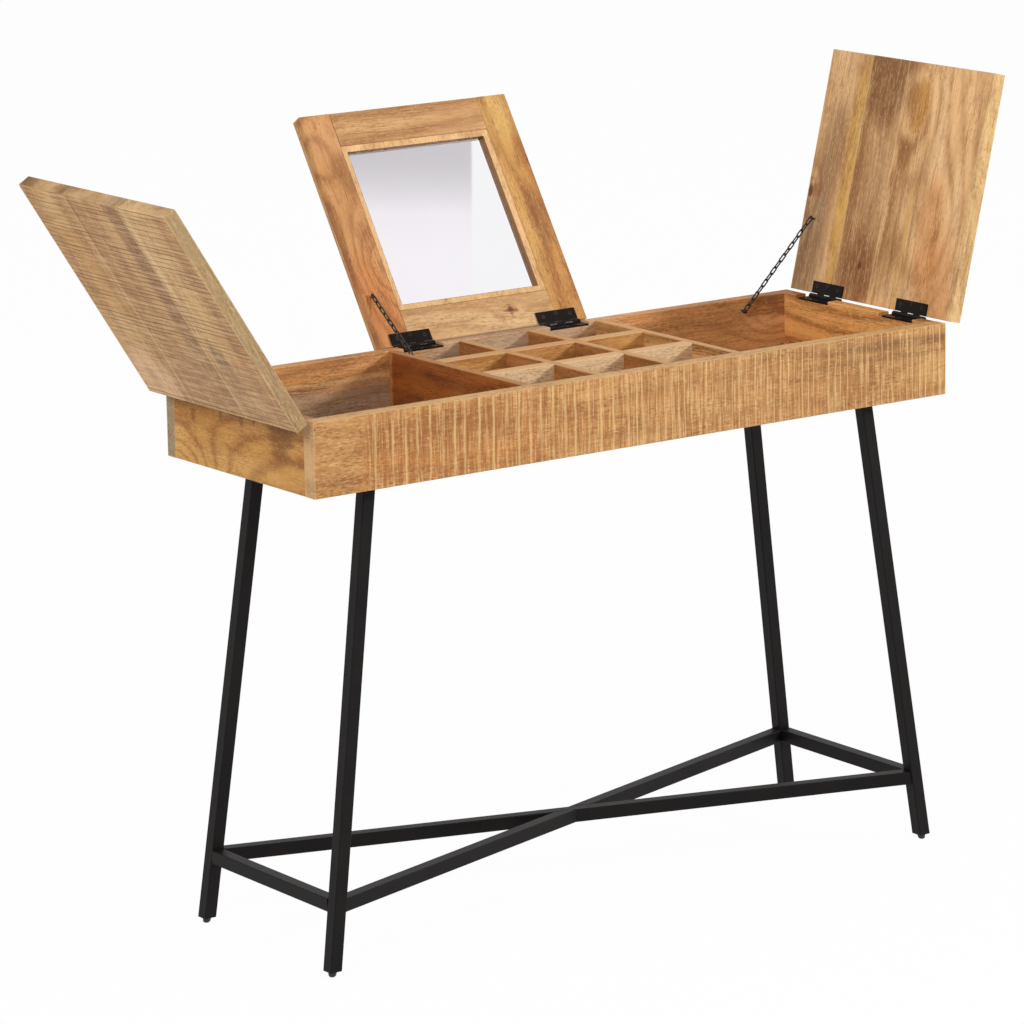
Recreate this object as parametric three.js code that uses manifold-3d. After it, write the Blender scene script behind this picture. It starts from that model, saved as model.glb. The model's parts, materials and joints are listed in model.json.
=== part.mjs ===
// Dressing table: a long wooden box with two trays and nine cells, three lifting lids held by chains,
// one lid with a mirror, on a welded frame of splayed square tubes. Millimetres, +Z up.
// The box runs along X, its front faces -Y, and it is shown with every lid open on its chain.
import * as THREE from 'three';
import { mergeVertices } from 'three/addons/utils/BufferGeometryUtils.js';
import Module from 'manifold-3d';

const wasm = await Module();
wasm.setup();

// The box
const caseLength = 1080;
const caseDepth = 362;
const caseHeight = 103;
const caseTop = 765;
const frontThickness = 24;
const backThickness = 19;
const endThickness = 19;
const arris = 1;

// Its bottom and its inside
const panelThickness = 8;
const panelRecess = 10;
const middleLength = 360;
const partitionThickness = 12.5;
const dividerThickness = 21;
const cellsAlong = 3;
const cellsAcross = 3;

// Clearances
const fit = 0.3;
const pivotClearance = 0.35;
const overrun = 2;

// The lids
const lidThickness = 19;
const lidGap = 2;
const lidRest = 0.4;
const rightOpenAngle = 103.5;
const leftOpenAngle = 122.3;
const centreOpenAngle = 122.7;

// The mirror lid
const frameWidth = 51.5;
const outerPanelThickness = 6;
const mirrorThickness = 3;
const mirrorLap = 6;
const beadWidth = 9.5;
const beadSetback = 0.8;
const beadFall = 2.2;

// The hinges
const hingeLength = 68;
const leafWidth = 17.5;
const leafThickness = 2.2;
const leafGap = 1;
const leafSetback = 0.5;
const axisOutboard = 4.4;
const barrelRadius = 3.9;
const hingePinRadius = 1.6;
const knuckles = 5;
const knuckleGap = 0.4;
const sideHingeFromEnd = 52;
const sideHingeOffset = caseDepth / 2 - sideHingeFromEnd - hingeLength / 2;
const centreHingeOffset = 127;
const notchSlack = 6;

// The chains
const linkPitch = 11.8;
const linkWire = 2.2;
const linkRadius = 2.65;
const weldReach = 0.7;
const openPivotGap = 1.4;
const chainStandoff = 7;
const chainScrewDepth = 17.5;
const screwShankRadius = 1.2;
const screwHeadRadius = 3.2;
const screwHeadFlat = 1.9;
const screwHeadHeight = 2;
const screwGrip = 9;
const eyeRadius = 2.9;
const eyeWire = 2.2;
const eyeDrop = 4.5;
const sideEyeFromHinge = 107.5;
const centreEyeFromHinge = 77.3;

// The underframe
const tube = 19;
const tubeCorner = 1.6;
const tubeWall = 1.8;
const legTopFromEnd = 113.3;
const legTopFromSide = 48.9;
const footFromEnd = 22.9;
const footFromSide = 24;
const stretcherHeight = 95.8;
const plateSize = 56;
const plateInset = 4;
const plateThickness = 4;
const glideHeight = 8;
const glideTopRadius = 6.4;
const glideFootRadius = 5;
const glideRound = 1.5;
const plugDepth = 14;

const roundSteps = 16;
const wireSides = 5;
const linkSteps = 10;

const caseBottom = caseTop - caseHeight;
const panelUnderside = caseBottom + panelRecess;
const trayFloor = panelUnderside + panelThickness;
const frontInside = -caseDepth / 2 + frontThickness;
const backInside = caseDepth / 2 - backThickness;
const endInside = caseLength / 2 - endThickness;
const partitionX = middleLength / 2;
const middleInside = partitionX - partitionThickness / 2;
const legTopX = caseLength / 2 - legTopFromEnd;
const legTopY = caseDepth / 2 - legTopFromSide;
const legFootX = caseLength / 2 - footFromEnd;
const legFootY = caseDepth / 2 - footFromSide;

const steel = { color: 0x1b191a, roughness: 0.42, metalness: 0.85 };
const chainSteel = { color: 0x2a2220, roughness: 0.45, metalness: 0.85 };
const materials = {
  board: { color: 0xb98a56, roughness: 0.62, metalness: 0 },
  inside: { color: 0x8d5f38, roughness: 0.66, metalness: 0 },
  lid: { color: 0xc39a68, roughness: 0.58, metalness: 0 },
  mirror: { color: 0xd6d8da, roughness: 0.04, metalness: 1 },
  glide: { color: 0x171616, roughness: 0.6, metalness: 0 },
  steel,
  chain: chainSteel,
};

function piece(name, geometry, look) {
  const mesh = new THREE.Mesh(geometry, new THREE.MeshStandardMaterial(materials[look]));
  mesh.name = name;
  return mesh;
}

function toSolid(geometry) {
  const bare = geometry.clone();
  bare.deleteAttribute('normal');
  bare.deleteAttribute('uv');
  const merged = mergeVertices(bare);
  const vertProperties = merged.attributes.position.array;
  const triVerts = new Uint32Array(merged.index.array);
  return new wasm.Manifold(new wasm.Mesh({ numProp: 3, vertProperties, triVerts }));
}

function toGeometry(solid) {
  const { vertProperties, triVerts } = solid.getMesh();
  const geometry = new THREE.BufferGeometry();
  geometry.setAttribute('position', new THREE.BufferAttribute(vertProperties, 3));
  geometry.setIndex(new THREE.BufferAttribute(triVerts, 1));
  geometry.computeVertexNormals();
  return geometry;
}

function cut(geometry, ...cutters) {
  const solid = cutters.reduce((left, cutter) => left.subtract(toSolid(cutter)), toSolid(geometry));
  return toGeometry(solid);
}

function join(...geometries) {
  const [first, ...others] = geometries.map(toSolid);
  return toGeometry(others.reduce((whole, other) => whole.add(other), first));
}

// A square-cornered block between two corners
function block(x0, x1, y0, y1, z0, z1) {
  const geometry = new THREE.BoxGeometry(x1 - x0, y1 - y0, z1 - z0);
  return geometry.translate((x0 + x1) / 2, (y0 + y1) / 2, (z0 + z1) / 2);
}

// A board between two corners with its four long edges eased, running along X or along Y
function board(x0, x1, y0, y1, z0, z1, alongX) {
  const half = (alongX ? y1 - y0 : x1 - x0) / 2;
  const rise = (z1 - z0) / 2;
  const section = new THREE.Shape([
    new THREE.Vector2(-half + arris, -rise),
    new THREE.Vector2(half - arris, -rise),
    new THREE.Vector2(half, -rise + arris),
    new THREE.Vector2(half, rise - arris),
    new THREE.Vector2(half - arris, rise),
    new THREE.Vector2(-half + arris, rise),
    new THREE.Vector2(-half, rise - arris),
    new THREE.Vector2(-half, -rise + arris),
  ]);
  const length = alongX ? x1 - x0 : y1 - y0;
  const geometry = new THREE.ExtrudeGeometry(section, { depth: length, bevelEnabled: false });
  geometry.translate(0, 0, -length / 2);
  const across = alongX ? new THREE.Vector3(0, 1, 0) : new THREE.Vector3(-1, 0, 0);
  const along = alongX ? new THREE.Vector3(1, 0, 0) : new THREE.Vector3(0, 1, 0);
  geometry.applyMatrix4(new THREE.Matrix4().makeBasis(across, new THREE.Vector3(0, 0, 1), along));
  return geometry.translate((x0 + x1) / 2, (y0 + y1) / 2, (z0 + z1) / 2);
}

// A round rod whose axis runs along X from x0 to x1
function rod(radius, x0, x1, steps = roundSteps) {
  const geometry = new THREE.CylinderGeometry(radius, radius, x1 - x0, steps);
  return geometry.rotateZ(Math.PI / 2).translate((x0 + x1) / 2, 0, 0);
}

// Hinges. Each station has its own frame: X along the hinge axis, Y inboard over the box, Z up.
const leafInner = leafGap / 2;
const leafOuter = leafInner + leafThickness;
const leafSeat = leafOuter + fit;
const lidFace = leafSeat;
const axisHeight = caseTop + lidRest - lidFace;
const notchFloor = axisHeight - leafSeat;
const knucklePitch = hingeLength / knuckles;

// One leaf round the axis: a plate, and every second knuckle of the barrel joined to it by its tongue
function hingeLeaf(isLidLeaf) {
  const z0 = isLidLeaf ? leafInner : -leafOuter;
  const z1 = isLidLeaf ? leafOuter : -leafInner;
  const plateFrom = axisOutboard + leafSetback;
  const parts = [block(-hingeLength / 2, hingeLength / 2, plateFrom, plateFrom + leafWidth, z0, z1)];
  for (let k = isLidLeaf ? 1 : 0; k < knuckles; k += 2) {
    const x0 = -hingeLength / 2 + k * knucklePitch + (k > 0 ? knuckleGap / 2 : 0);
    const x1 = -hingeLength / 2 + (k + 1) * knucklePitch - (k < knuckles - 1 ? knuckleGap / 2 : 0);
    parts.push(rod(barrelRadius, x0, x1));
    parts.push(block(x0, x1, hingePinRadius + pivotClearance, plateFrom + leafThickness, z0, z1));
  }
  if (!isLidLeaf) {
    return join(...parts, rod(hingePinRadius, -hingeLength / 2, hingeLength / 2));
  }
  return cut(join(...parts), rod(hingePinRadius + pivotClearance, -hingeLength / 2 - overrun, hingeLength / 2 + overrun));
}

// A notch in the top of the board under a case leaf, longer than the leaf at its two ends by the given slack
function hingeNotch(alongX, centre, outside, thickness, slackBefore, slackAfter) {
  const from = centre - hingeLength / 2 - slackBefore;
  const to = centre + hingeLength / 2 + slackAfter;
  const outer = outside + Math.sign(outside) * overrun;
  const inner = outside - Math.sign(outside) * (thickness + overrun);
  const low = Math.min(outer, inner);
  const high = Math.max(outer, inner);
  if (alongX) {
    return block(from, to, low, high, notchFloor, caseTop + overrun);
  }
  return block(low, high, from, to, notchFloor, caseTop + overrun);
}

// Chains. A chain is taut when its lid is open: it runs straight from the case screw to the screw eye.
// It is three stiff runs of links. The pivot after the given run is left open, so that the lid can close.
const sideChainY = backInside - chainStandoff;
const centreChainX = -middleInside + chainStandoff;

const chains = {
  left: { openAngle: leftOpenAngle, eyeFromHinge: sideEyeFromHinge, plane: -sideChainY, runs: [2, 8, 7], openAfter: 2 },
  centre: { openAngle: centreOpenAngle, eyeFromHinge: centreEyeFromHinge, plane: -centreChainX, runs: [3, 5, 4], openAfter: 1 },
  right: { openAngle: rightOpenAngle, eyeFromHinge: sideEyeFromHinge, plane: sideChainY, runs: [2, 7, 6], openAfter: 2 },
};

for (const chain of Object.values(chains)) {
  const links = chain.runs.reduce((sum, run) => sum + run, 0);
  chain.ringAcross = links % 2 === 1;
  const drop = eyeDrop + (chain.ringAcross ? eyeRadius : 0);
  const tilt = THREE.MathUtils.degToRad(chain.openAngle);
  const inboard = axisOutboard + chain.eyeFromHinge;
  const below = lidFace - drop;
  chain.eyeY = inboard * Math.cos(tilt) - below * Math.sin(tilt);
  chain.eyeZ = inboard * Math.sin(tilt) + below * Math.cos(tilt);
  chain.screwZ = caseTop - chainScrewDepth - axisHeight;
  const rise = chain.eyeZ - chain.screwZ;
  chain.screwY = chain.eyeY + Math.sqrt((links * linkPitch) ** 2 - rise ** 2);
  chain.slope = Math.atan2(rise, chain.eyeY - chain.screwY);
}

// One link along Y about its own centre. before and after are the distances to its two end arcs.
function chainLink(before, after, turned) {
  const geometry = new THREE.TorusGeometry(linkRadius, linkWire / 2, wireSides, linkSteps);
  const places = geometry.attributes.position;
  for (let i = 0; i < places.count; i += 1) {
    places.setX(i, places.getX(i) + (places.getX(i) > 0 ? after : -before));
  }
  geometry.rotateZ(Math.PI / 2);
  return turned ? geometry : geometry.rotateY(Math.PI / 2);
}

// A stiff run of links along Y from its first pivot: flat links lie in the chain's plane, turned links across it
function chainRun(firstLink, count, opensAfter, opensBefore) {
  const half = linkPitch / 2;
  const welded = half + weldReach - linkRadius;
  const ends = half - openPivotGap - linkWire / 2 - linkRadius;
  const links = [];
  for (let k = 0; k < count; k += 1) {
    const turned = (firstLink + k) % 2 === 1;
    const pivoted = turned ? half - linkRadius : half;
    const before = k > 0 ? welded : (opensBefore ? ends : pivoted);
    const after = k < count - 1 ? welded : (opensAfter ? ends : pivoted);
    links.push(chainLink(before, after, turned).translate(0, (k + 0.5) * linkPitch, 0));
  }
  return join(...links);
}

// A pan-head screw along X through the link's end, its head on the inner side and its shank in the board
function chainScrew(towardBoard) {
  const headFace = linkWire / 2 + pivotClearance;
  const headEnd = headFace + screwHeadHeight;
  const shankEnd = chainStandoff + screwGrip;
  const profile = [
    new THREE.Vector2(0, -headEnd),
    new THREE.Vector2(screwHeadFlat, -headEnd),
    new THREE.Vector2(screwHeadRadius, -headFace - screwHeadHeight / 2),
    new THREE.Vector2(screwHeadRadius, -headFace),
    new THREE.Vector2(screwShankRadius, -headFace),
    new THREE.Vector2(screwShankRadius, shankEnd),
    new THREE.Vector2(0, shankEnd + screwShankRadius),
  ];
  const geometry = new THREE.LatheGeometry(profile, roundSteps / 2);
  return geometry.rotateZ(towardBoard > 0 ? -Math.PI / 2 : Math.PI / 2);
}

// The ring under the lid's face with its shank standing up into the lid, in the closed lid's frame
function screwEye(ringAcross) {
  const ring = new THREE.TorusGeometry(eyeRadius, eyeWire / 2, wireSides + 1, linkSteps + 2);
  if (ringAcross) {
    ring.rotateX(Math.PI / 2);
  } else {
    ring.rotateY(Math.PI / 2);
  }
  const shank = rod(eyeWire / 2, eyeRadius, eyeDrop + screwGrip, roundSteps / 2).rotateY(-Math.PI / 2);
  return join(ring, shank).translate(0, 0, lidFace - eyeDrop);
}

function eyeHole(chain) {
  const hole = rod(eyeWire / 2 + fit, -overrun, screwGrip + fit, roundSteps / 2).rotateY(-Math.PI / 2);
  return hole.translate(chain.plane, axisOutboard + chain.eyeFromHinge, lidFace);
}

// A station holds what turns about one hinge axis. The swing group inside it is the lid, shown open.
function station(axisX, axisY, turn, chain) {
  const fixed = new THREE.Group();
  fixed.position.set(axisX, axisY, axisHeight);
  fixed.rotation.z = turn;
  const swing = new THREE.Group();
  swing.rotation.x = THREE.MathUtils.degToRad(chain.openAngle);
  fixed.add(swing);
  return { fixed, swing };
}

function addHinges(name, { fixed, swing }, places) {
  for (const [place, x] of Object.entries(places)) {
    const caseLeaf = piece(`${name}_${place}_case_leaf`, hingeLeaf(false), 'steel');
    const lidLeaf = piece(`${name}_${place}_lid_leaf`, hingeLeaf(true), 'steel');
    caseLeaf.position.x = x;
    lidLeaf.position.x = x;
    fixed.add(caseLeaf);
    swing.add(lidLeaf);
  }
}

function addChain(name, { fixed, swing }, chain) {
  const line = new THREE.Group();
  line.position.set(chain.plane, chain.screwY, chain.screwZ);
  line.rotation.x = chain.slope;
  const [low, mid, up] = chain.runs;
  const openLow = chain.openAfter === 1;
  const lowRun = piece(`${name}_chain_low_run`, chainRun(0, low, openLow, false), 'chain');
  const midRun = piece(`${name}_chain_mid_run`, chainRun(low, mid, !openLow, openLow), 'chain');
  const upRun = piece(`${name}_chain_up_run`, chainRun(low + mid, up, false, !openLow), 'chain');
  midRun.position.y = low * linkPitch;
  upRun.position.y = (low + mid) * linkPitch;
  line.add(lowRun, midRun, upRun);
  const screw = piece(`${name}_chain_screw`, chainScrew(Math.sign(chain.plane)), 'steel');
  screw.position.set(chain.plane, chain.screwY, chain.screwZ);
  fixed.add(line, screw);
  const eye = piece(`${name}_chain_eye`, screwEye(chain.ringAcross), 'steel');
  eye.position.set(chain.plane, axisOutboard + chain.eyeFromHinge, 0);
  swing.add(eye);
}

// The box
function makeCase() {
  const box = new THREE.Group();
  const halfLength = caseLength / 2;
  const halfDepth = caseDepth / 2;
  const screwHole = screwShankRadius + fit;

  box.add(piece('front_board', board(-halfLength, halfLength, -halfDepth, frontInside, caseBottom, caseTop, true), 'board'));

  const backCuts = [-centreHingeOffset, centreHingeOffset].map(
    (x) => hingeNotch(true, x, halfDepth, backThickness, fit, fit),
  );
  for (const [side, chain] of [[-1, chains.left], [1, chains.right]]) {
    const hole = rod(screwHole, -overrun, screwGrip + screwShankRadius + fit, roundSteps / 2).rotateZ(Math.PI / 2);
    const x = side * (halfLength + axisOutboard - chain.screwY);
    backCuts.push(hole.translate(x, backInside, axisHeight + chain.screwZ));
  }
  const backBoard = board(-halfLength, halfLength, backInside, halfDepth, caseBottom, caseTop, true);
  box.add(piece('back_board', cut(backBoard, ...backCuts), 'board'));

  for (const [name, side] of [['left', -1], ['right', 1]]) {
    const x0 = Math.min(side * endInside, side * halfLength);
    const x1 = Math.max(side * endInside, side * halfLength);
    const endBoard = board(x0, x1, frontInside + fit, backInside - fit, caseBottom, caseTop, false);
    const notches = [-sideHingeOffset, sideHingeOffset].map(
      (y) => hingeNotch(false, y, side * halfLength, endThickness, fit, notchSlack),
    );
    box.add(piece(`${name}_end_board`, cut(endBoard, ...notches), 'board'));

    const px0 = side * partitionX - partitionThickness / 2;
    const px1 = side * partitionX + partitionThickness / 2;
    let partition = board(px0, px1, frontInside + fit, backInside - fit, trayFloor + fit, caseTop, false);
    if (side < 0) {
      const hole = rod(screwHole, -screwGrip - screwShankRadius - fit, overrun, roundSteps / 2);
      const y = halfDepth + axisOutboard - chains.centre.screwY;
      partition = cut(partition, hole.translate(-middleInside, y, axisHeight + chains.centre.screwZ));
    }
    box.add(piece(`${name}_partition`, partition, 'inside'));
  }

  const panel = block(-endInside + fit, endInside - fit, frontInside + fit, backInside - fit, panelUnderside, trayFloor);
  box.add(piece('bottom_panel', panel, 'inside'));
  return box;
}

// The cell dividers cross in halving joints: the lengthwise ones are slotted from above, the crosswise from below
function makeDividers() {
  const dividers = new THREE.Group();
  const cellLength = (2 * middleInside - (cellsAlong - 1) * partitionThickness) / cellsAlong;
  const cellDepth = (backInside - frontInside - (cellsAcross - 1) * dividerThickness) / cellsAcross;
  const halving = (trayFloor + caseTop) / 2;
  const crossX = [];
  for (let k = 1; k < cellsAlong; k += 1) {
    crossX.push(-middleInside + k * cellLength + (k - 0.5) * partitionThickness);
  }
  const lengthY = [];
  for (let k = 1; k < cellsAcross; k += 1) {
    lengthY.push(frontInside + k * cellDepth + (k - 0.5) * dividerThickness);
  }
  lengthY.forEach((y, k) => {
    const y0 = y - dividerThickness / 2;
    const y1 = y + dividerThickness / 2;
    const bar = board(-middleInside + fit, middleInside - fit, y0, y1, trayFloor + fit, caseTop, true);
    const half = partitionThickness / 2 + fit;
    const slots = crossX.map((x) => block(x - half, x + half, y0 - overrun, y1 + overrun, halving - fit / 2, caseTop + overrun));
    dividers.add(piece(`lengthwise_divider_${k + 1}`, cut(bar, ...slots), 'inside'));
  });
  crossX.forEach((x, k) => {
    const x0 = x - partitionThickness / 2;
    const x1 = x + partitionThickness / 2;
    const bar = board(x0, x1, frontInside + fit, backInside - fit, trayFloor + fit, caseTop, false);
    const half = dividerThickness / 2 + fit;
    const slots = lengthY.map((y) => block(x0 - overrun, x1 + overrun, y - half, y + half, trayFloor, halving + fit / 2));
    dividers.add(piece(`crosswise_divider_${k + 1}`, cut(bar, ...slots), 'inside'));
  });
  return dividers;
}

// A plain lid: one board, hinged at an end of the box
function makeSideLid(name, side, chain) {
  const lid = station(side * (caseLength / 2 + axisOutboard), 0, side * Math.PI / 2, chain);
  const length = (caseLength - 2 * lidGap) / 3;
  const slab = board(-caseDepth / 2, caseDepth / 2, axisOutboard, axisOutboard + length, lidFace, lidFace + lidThickness, true);
  lid.swing.add(piece(`${name}_lid`, cut(slab, eyeHole(chain)), 'lid'));
  addHinges(`${name}_lid_hinge`, lid, { front: -side * sideHingeOffset, rear: side * sideHingeOffset });
  addChain(name, lid, chain);
  return lid.fixed;
}

// A mitred frame of one moulding: a profile point is its inset from the frame's outline and its height
function mitredFrame(halfX, near, far, profile) {
  const places = [];
  for (const [inset, height] of profile) {
    places.push(-halfX + inset, near + inset, height);
    places.push(halfX - inset, near + inset, height);
    places.push(halfX - inset, far - inset, height);
    places.push(-halfX + inset, far - inset, height);
  }
  const faces = [];
  for (let p = 0; p < profile.length; p += 1) {
    const next = (p + 1) % profile.length;
    for (let k = 0; k < 4; k += 1) {
      const corner = (k + 1) % 4;
      faces.push(4 * p + k, 4 * p + corner, 4 * next + corner);
      faces.push(4 * p + k, 4 * next + corner, 4 * next + k);
    }
  }
  const geometry = new THREE.BufferGeometry();
  geometry.setAttribute('position', new THREE.Float32BufferAttribute(places, 3));
  geometry.setIndex(faces);
  geometry.computeVertexNormals();
  return geometry;
}

// The mirror lid: a frame of stiles and rails, with a mitred bead round the glass, on an outer panel
function makeMirrorLid(chain) {
  const lid = station(0, caseDepth / 2 + axisOutboard, Math.PI, chain);
  const half = (caseLength - 2 * lidGap) / 6;
  const near = axisOutboard;
  const far = axisOutboard + caseDepth;
  const outside = lidFace + lidThickness;
  const panelFace = outside - outerPanelThickness;
  const frameBack = panelFace - fit;
  const glassFace = frameBack - mirrorThickness;
  const openX = half - frameWidth;
  const openNear = near + frameWidth;
  const openFar = far - frameWidth;

  const throat = block(-openX, openX, openNear, openFar, lidFace - overrun, frameBack + overrun);
  const rebate = block(
    -openX - mirrorLap, openX + mirrorLap, openNear - mirrorLap, openFar + mirrorLap, glassFace - fit, frameBack + overrun,
  );
  const routed = [throat, rebate];

  for (const [name, side] of [['left', 1], ['right', -1]]) {
    const x0 = side > 0 ? openX : -half;
    const x1 = side > 0 ? half : -openX;
    const stile = board(x0, x1, near, far, lidFace, frameBack, false);
    const cuts = side > 0 ? [...routed, eyeHole(chain)] : routed;
    lid.swing.add(piece(`mirror_${name}_stile`, cut(stile, ...cuts), 'lid'));
  }
  const hingeRail = board(-openX + fit, openX - fit, near, openNear, lidFace, frameBack, true);
  const freeRail = board(-openX + fit, openX - fit, openFar, far, lidFace, frameBack, true);
  lid.swing.add(piece('mirror_hinge_rail', cut(hingeRail, ...routed), 'lid'));
  lid.swing.add(piece('mirror_free_rail', cut(freeRail, ...routed), 'lid'));

  // the bead slopes from just under the frame's face down to the sight edge of the glass
  const beadBack = glassFace - fit;
  const beadProfile = [
    [fit, lidFace + beadSetback],
    [fit, beadBack],
    [beadWidth, beadBack],
    [beadWidth, lidFace + beadSetback + beadFall],
  ];
  lid.swing.add(piece('mirror_bead', mitredFrame(openX, openNear, openFar, beadProfile), 'lid'));

  const inMirror = mirrorLap - fit;
  const glass = block(-openX - inMirror, openX + inMirror, openNear - inMirror, openFar + inMirror, glassFace, frameBack);
  lid.swing.add(piece('mirror_glass', glass, 'mirror'));
  lid.swing.add(piece('mirror_outer_panel', board(-half, half, near, far, panelFace, outside, true), 'lid'));
  addHinges('centre_lid_hinge', lid, { left: centreHingeOffset, right: -centreHingeOffset });
  addChain('centre', lid, chain);
  return lid.fixed;
}

// A square tube's section, its corners rounded
function tubeSection(side, corner) {
  const half = side / 2;
  const shape = new THREE.Shape();
  shape.absarc(half - corner, half - corner, corner, 0, Math.PI / 2, false);
  shape.absarc(-half + corner, half - corner, corner, Math.PI / 2, Math.PI, false);
  shape.absarc(-half + corner, -half + corner, corner, Math.PI, Math.PI * 1.5, false);
  shape.absarc(half - corner, -half + corner, corner, Math.PI * 1.5, Math.PI * 2, false);
  return shape;
}

function upright(side, corner, z0, z1) {
  const settings = { depth: z1 - z0, bevelEnabled: false, curveSegments: 2 };
  return new THREE.ExtrudeGeometry(tubeSection(side, corner), settings).translate(0, 0, z0);
}

// Leans an upright piece along its leg. Level faces stay level, as on a tube cut to stand flat.
function splay(geometry, sideX, sideY) {
  const slopeX = sideX * (legTopX - legFootX) / caseBottom;
  const slopeY = sideY * (legTopY - legFootY) / caseBottom;
  const lean = new THREE.Matrix4().makeShear(0, 0, 0, 0, slopeX, slopeY);
  return geometry.applyMatrix4(lean).translate(sideX * legFootX, sideY * legFootY, 0);
}

function makeLeg(name, sideX, sideY) {
  const leg = new THREE.Group();
  const plateTop = panelUnderside - fit;
  const plateBottom = plateTop - plateThickness;
  const socket = tube - 2 * tubeWall;
  const body = cut(
    upright(tube, tubeCorner, glideHeight, plateBottom + plateThickness / 2),
    upright(socket, tubeCorner / 2, glideHeight - overrun, glideHeight + plugDepth + fit),
  );
  splay(body, sideX, sideY);
  const plate = upright(plateSize, tubeCorner, plateBottom, plateTop);
  plate.translate(sideX * (legTopX - plateInset), sideY * (legTopY - plateInset), 0);
  leg.add(piece(`${name}_leg`, join(body, plate), 'steel'));

  const profile = [
    new THREE.Vector2(0, 0),
    new THREE.Vector2(glideFootRadius - glideRound, 0),
    new THREE.Vector2(glideFootRadius, glideRound),
    new THREE.Vector2(glideTopRadius, glideHeight - fit),
    new THREE.Vector2(0, glideHeight - fit),
  ];
  const foot = new THREE.LatheGeometry(profile, roundSteps).rotateX(Math.PI / 2);
  const plug = upright(socket - 2 * fit, tubeCorner / 2, glideHeight / 2, glideHeight + plugDepth);
  const necks = toSolid(plug).subtract(toSolid(block(-tube, tube, -tube, tube, 0, glideHeight - fit)));
  const neck = new THREE.CylinderGeometry(glideFootRadius, glideFootRadius, glideHeight, roundSteps).rotateX(Math.PI / 2);
  neck.translate(0, 0, glideHeight);
  const glide = join(foot, toGeometry(necks), neck);
  leg.add(piece(`${name}_glide`, splay(glide, sideX, sideY), 'glide'));
  return leg;
}

// Stretchers: level square tubes between the legs, each end cut to the face that it is welded to
function makeStretchers() {
  const frame = new THREE.Group();
  const share = stretcherHeight / caseBottom;
  const legX = legFootX + (legTopX - legFootX) * share;
  const legY = legFootY + (legTopY - legFootY) * share;
  const bar = (length) => upright(tube, tubeCorner, -length / 2, length / 2).rotateY(Math.PI / 2);
  const wide = 3 * tube;
  const low = stretcherHeight - tube;
  const high = stretcherHeight + tube;
  const legCut = (sideX, sideY, alongX, alongY) => {
    const cutter = block(-alongX, alongX, -alongY, alongY, low, high);
    return splay(cutter, sideX, sideY);
  };
  const legHalf = tube / 2 + fit;

  for (const [name, sideX] of [['left', -1], ['right', 1]]) {
    const side = bar(2 * legY).rotateZ(Math.PI / 2).translate(sideX * legX, 0, stretcherHeight);
    const cuts = [legCut(sideX, -1, wide, legHalf), legCut(sideX, 1, wide, legHalf)];
    frame.add(piece(`${name}_side_stretcher`, cut(side, ...cuts), 'steel'));
  }
  const sideCut = (sideX) => block(
    sideX * legX - legHalf, sideX * legX + legHalf, -legY, legY, low, high,
  );
  const diagonal = 2 * Math.hypot(legX, legY);
  const turn = Math.atan2(legY, legX);
  const long = bar(diagonal).rotateZ(-turn).translate(0, 0, stretcherHeight);
  const longCuts = [legCut(-1, 1, legHalf, wide), legCut(1, -1, legHalf, wide), sideCut(-1), sideCut(1)];
  frame.add(piece('long_diagonal', cut(long, ...longCuts), 'steel'));
  const longSeat = block(-diagonal, diagonal, -legHalf, legHalf, low, high).rotateZ(-turn);
  for (const [name, side] of [['front_left', -1], ['rear_right', 1]]) {
    const half = bar(diagonal / 2).translate(side * diagonal / 4, 0, 0).rotateZ(turn);
    half.translate(0, 0, stretcherHeight);
    const cuts = [legCut(side, side, legHalf, wide), sideCut(side), longSeat];
    frame.add(piece(`${name}_half_diagonal`, cut(half, ...cuts), 'steel'));
  }
  return frame;
}

const dressingTable = new THREE.Group();
dressingTable.add(makeCase());
dressingTable.add(makeDividers());
dressingTable.add(makeSideLid('left', -1, chains.left));
dressingTable.add(makeMirrorLid(chains.centre));
dressingTable.add(makeSideLid('right', 1, chains.right));
for (const [name, sideX, sideY] of [
  ['front_left', -1, -1],
  ['front_right', 1, -1],
  ['rear_left', -1, 1],
  ['rear_right', 1, 1],
]) {
  dressingTable.add(makeLeg(name, sideX, sideY));
}
dressingTable.add(makeStretchers());

// The origin is under the middle of the whole piece of furniture, lids open, on the floor
const extent = new THREE.Box3().setFromObject(dressingTable, true);
const middle = extent.getCenter(new THREE.Vector3());
dressingTable.position.set(-middle.x, -middle.y, -extent.min.z);

export default dressingTable;
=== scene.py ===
import json
import math
import bmesh
import bpy
from mathutils import Matrix, Vector


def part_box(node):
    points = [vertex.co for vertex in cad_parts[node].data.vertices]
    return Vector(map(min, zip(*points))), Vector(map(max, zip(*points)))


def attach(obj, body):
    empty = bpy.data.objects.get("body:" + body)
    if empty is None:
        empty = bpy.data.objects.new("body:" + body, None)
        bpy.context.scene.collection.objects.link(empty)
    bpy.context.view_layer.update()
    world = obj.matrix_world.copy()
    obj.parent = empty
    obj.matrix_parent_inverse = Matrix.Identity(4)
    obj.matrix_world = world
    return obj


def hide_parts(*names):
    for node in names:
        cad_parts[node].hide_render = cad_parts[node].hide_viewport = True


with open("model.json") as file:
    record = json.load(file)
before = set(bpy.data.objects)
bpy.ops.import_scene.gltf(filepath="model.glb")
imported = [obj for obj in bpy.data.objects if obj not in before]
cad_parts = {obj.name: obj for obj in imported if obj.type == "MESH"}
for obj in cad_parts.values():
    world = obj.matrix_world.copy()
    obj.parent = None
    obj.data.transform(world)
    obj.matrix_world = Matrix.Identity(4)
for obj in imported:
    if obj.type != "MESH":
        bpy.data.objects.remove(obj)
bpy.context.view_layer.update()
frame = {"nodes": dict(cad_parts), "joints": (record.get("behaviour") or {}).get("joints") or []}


# Front board
# One long board of mango wood, its face left as it came from the band saw: pale scratches stand
# upright across the grain. It is oiled, and a highlight is painted along its eased edges.

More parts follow.
